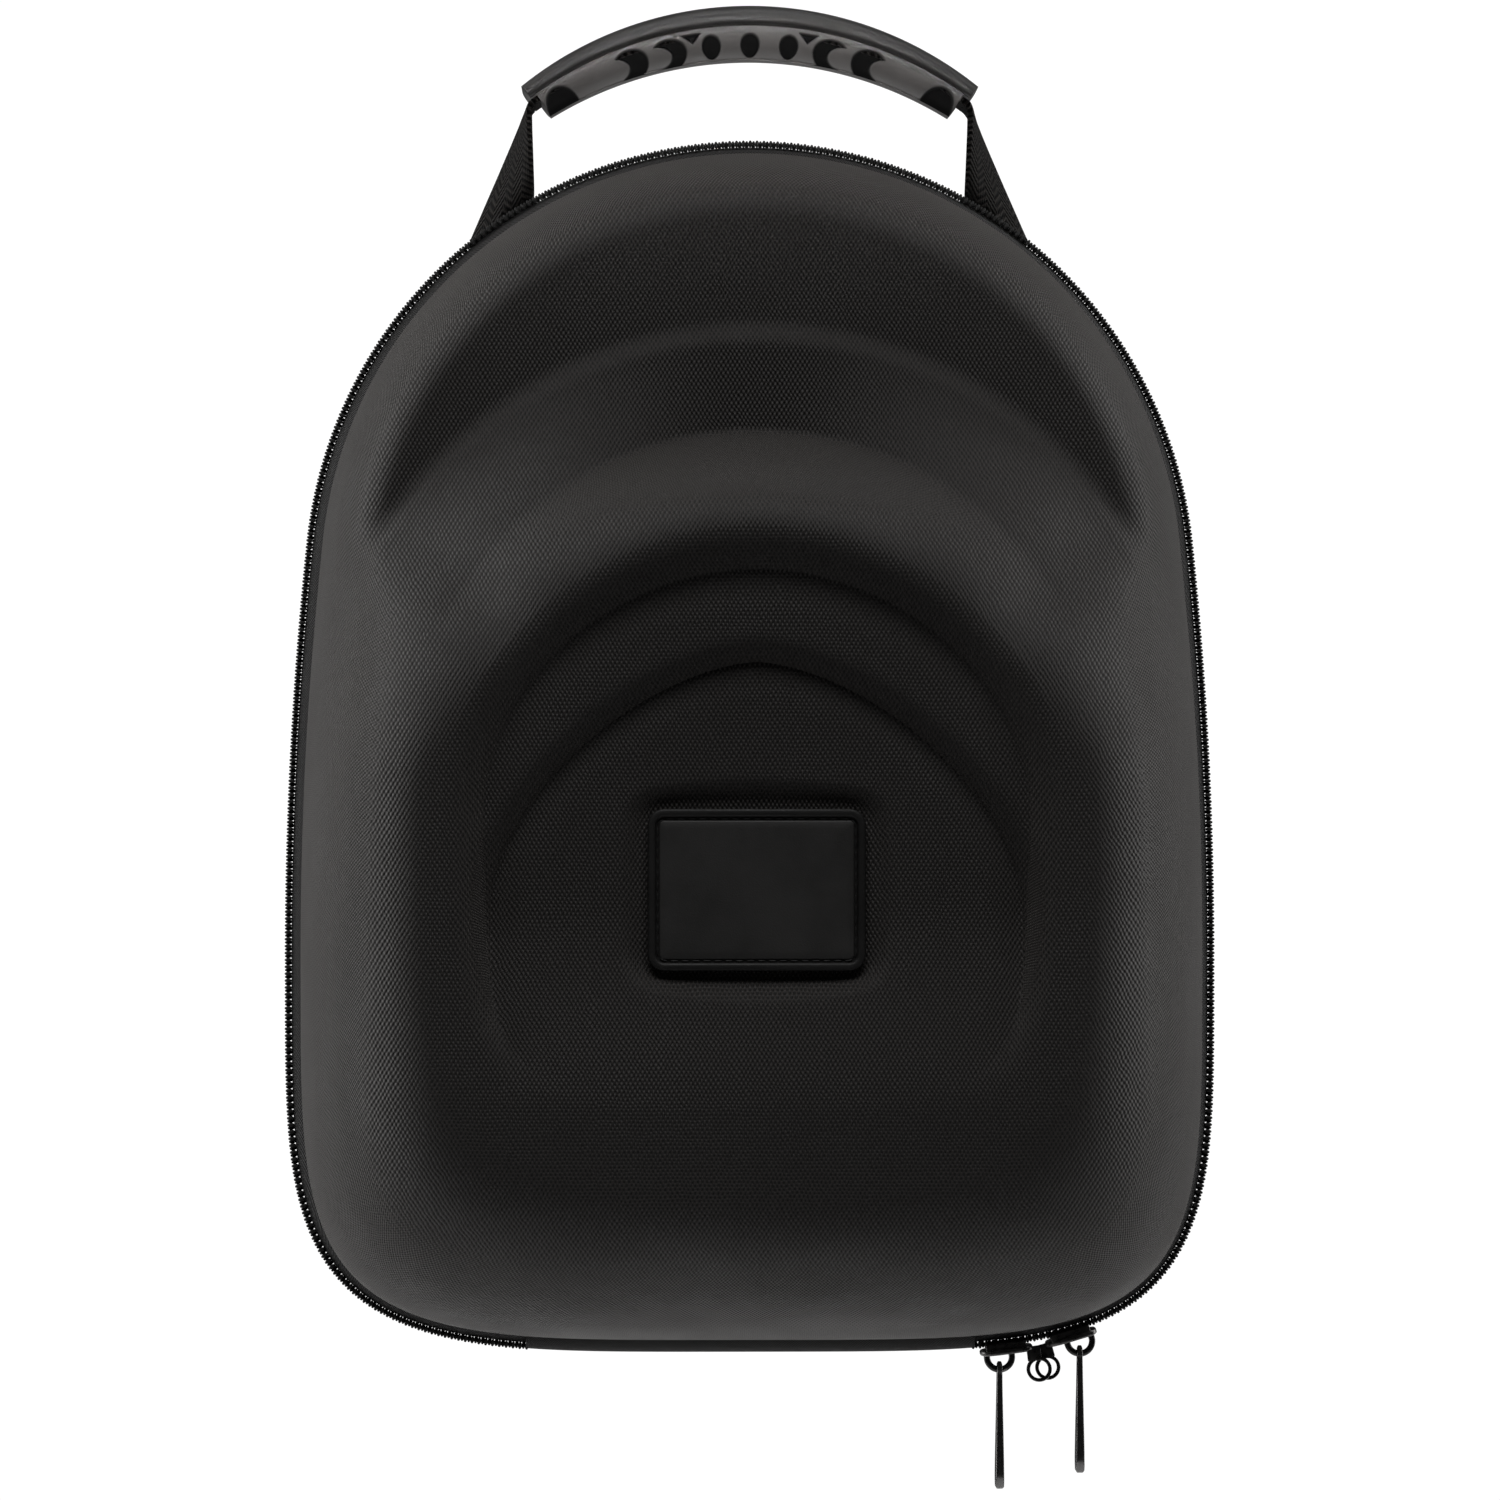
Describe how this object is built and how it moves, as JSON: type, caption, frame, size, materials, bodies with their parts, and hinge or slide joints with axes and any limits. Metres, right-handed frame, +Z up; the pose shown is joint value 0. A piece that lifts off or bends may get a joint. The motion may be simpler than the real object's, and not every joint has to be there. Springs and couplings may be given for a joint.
{
  "type": "hat case",
  "caption": "Hard-shell cap case with a domed front, a zipper round the side, a gripped webbing handle and hanging zipper pulls.",
  "frame": {"origin": "middle of the underside of the handle's grip, where the case hangs from a hand or a peg", "axes": "+Z up along the case's height, -Y out of the domed front, +Y out of the flat back, +X to the viewer's right"},
  "size_m": [0.2378, 0.172, 0.3796],
  "materials": {
    "shell_cloth": "woven polyester cloth over moulded foam, matt with a soft sheen",
    "zipper_tape": "twill zipper tape",
    "zipper_coil": "nylon coil",
    "hinge_cloth": "plain woven cloth",
    "patch_rubber": "soft moulded rubber, bare",
    "webbing": "ribbed webbing",
    "grip_rubber": "moulded rubber, satin",
    "slider_metal": "black nickel",
    "pull_metal": "glossy black nickel"
  },
  "bodies": {
    "root": {"front_shell": "shell_cloth", "back_shell": "shell_cloth", "zipper_tape_front": "zipper_tape", "zipper_tape_back": "zipper_tape", "zipper_coil": "zipper_coil", "hinge_gusset": "hinge_cloth", "patch": "patch_rubber", "handle_strap": "webbing", "handle_grip": "grip_rubber", "slider_left": "slider_metal", "slider_right": "slider_metal"},
    "pull_left": {"pull_left": "pull_metal"},
    "pull_right": {"pull_right": "pull_metal"}
  },
  "joints": [
    {"name": "pull_left_swing", "type": "hinge", "parent": "root", "child": "pull_left", "pos_m": [0.06386, -0.0116, -0.33267], "axis": [0, 1, 0], "range_deg": [-14, 80]},
    {"name": "pull_right_swing", "type": "hinge", "parent": "root", "child": "pull_right", "pos_m": [0.0844, -0.0116, -0.32861], "axis": [0, 1, 0], "range_deg": [-80, 14]}
  ]
}
